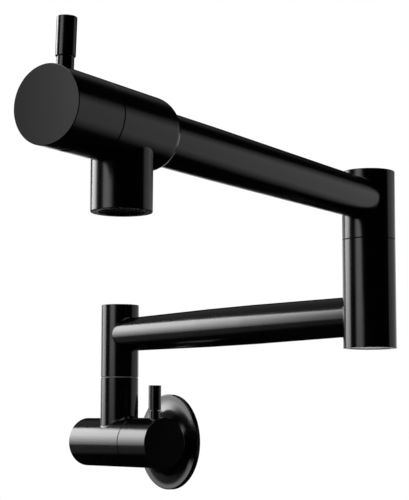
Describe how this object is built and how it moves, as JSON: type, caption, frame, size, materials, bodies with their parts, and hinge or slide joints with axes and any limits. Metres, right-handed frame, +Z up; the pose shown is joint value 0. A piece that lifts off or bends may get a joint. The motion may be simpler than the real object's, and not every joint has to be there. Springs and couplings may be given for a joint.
{
  "type": "wall mounted pot filler",
  "caption": "Folding wall tap for filling pots: trumpet wall flange, lever valve, swivelling arm, second post, swivelling arm with lever valve and short spout.",
  "frame": {"origin": "centre of the wall flange on the wall plane, on the axis of the inlet nipple", "axes": "+Z up, +Y into the wall along the inlet nipple, -Y out over the hob, +X along the lower arm at rest"},
  "size_m": [0.4712, 0.4078, 0.2524],
  "materials": {
    "black_finish": "satin black electroplated coat on brass",
    "brass": "machined",
    "steel": "plain stainless",
    "rubber": "smooth",
    "grey_ring": "smooth low-friction plastic",
    "ceramic": "lapped",
    "black_plastic": "moulded"
  },
  "bodies": {
    "wall_valve": {"wall_flange": "black_finish", "flange_seal": "rubber", "flange_neck_oring": "rubber", "inlet_nipple": "brass", "inlet_strainer": "steel", "valve_body": "black_finish", "cartridge_1_body": "brass", "cartridge_1_gasket": "rubber", "cartridge_1_seat_seal": "rubber", "cartridge_1_fixed_disc": "ceramic", "cartridge_1_stem_oring": "rubber", "spigot_1": "brass", "spigot_1_orings": "rubber", "spigot_1_circlip": "steel", "slip_washer_1": "grey_ring"},
    "handle_1": {"hub_1": "black_finish", "lever_1_stub": "black_finish", "lever_1_rod": "black_finish", "hub_1_grub_screw": "steel", "cartridge_1_stem": "brass", "cartridge_1_moving_disc": "ceramic"},
    "lower_arm": {"post_1_sleeve": "black_finish", "post_1_cap": "black_finish", "post_1_cap_oring": "rubber", "arm_1_tube": "black_finish", "post_2_lower_sleeve": "black_finish", "post_2_bottom_plug": "black_finish", "post_2_bottom_plug_oring": "rubber", "spigot_2": "brass", "spigot_2_orings": "rubber", "spigot_2_circlip": "steel", "slip_washer_2": "grey_ring"},
    "upper_arm": {"post_2_upper_sleeve": "black_finish", "post_2_cap": "black_finish", "post_2_cap_oring": "rubber", "arm_2_tube": "black_finish", "outlet_body": "black_finish", "spout_tube": "black_finish", "aerator_housing": "black_plastic", "aerator_insert": "black_plastic", "aerator_screen": "steel", "aerator_gasket": "rubber", "cartridge_2_body": "brass", "cartridge_2_gasket": "rubber", "cartridge_2_seat_seal": "rubber", "cartridge_2_fixed_disc": "ceramic", "cartridge_2_stem_oring": "rubber"},
    "handle_2": {"hub_2": "black_finish", "lever_2_stub": "black_finish", "lever_2_rod": "black_finish", "hub_2_grub_screw": "steel", "cartridge_2_stem": "brass", "cartridge_2_moving_disc": "ceramic"}
  },
  "joints": [
    {"name": "handle_1_turn", "type": "hinge", "parent": "wall_valve", "child": "handle_1", "pos_m": [0.0627, -0.0539, 0], "axis": [1, 0, 0], "range_deg": [0, 90]},
    {"name": "swivel_1", "type": "hinge", "parent": "wall_valve", "child": "lower_arm", "pos_m": [0, -0.0539, 0.0884], "axis": [0, 0, 1], "range_deg": [-185, 5]},
    {"name": "swivel_2", "type": "hinge", "parent": "lower_arm", "child": "upper_arm", "pos_m": [0.292, -0.0539, 0.1665], "axis": [0, 0, 1], "continuous": true},
    {"name": "handle_2_turn", "type": "hinge", "parent": "upper_arm", "child": "handle_2", "pos_m": [0.39513, -0.35006, 0.1665], "axis": [0.3289, -0.9444, 0], "range_deg": [0, 90]}
  ]
}
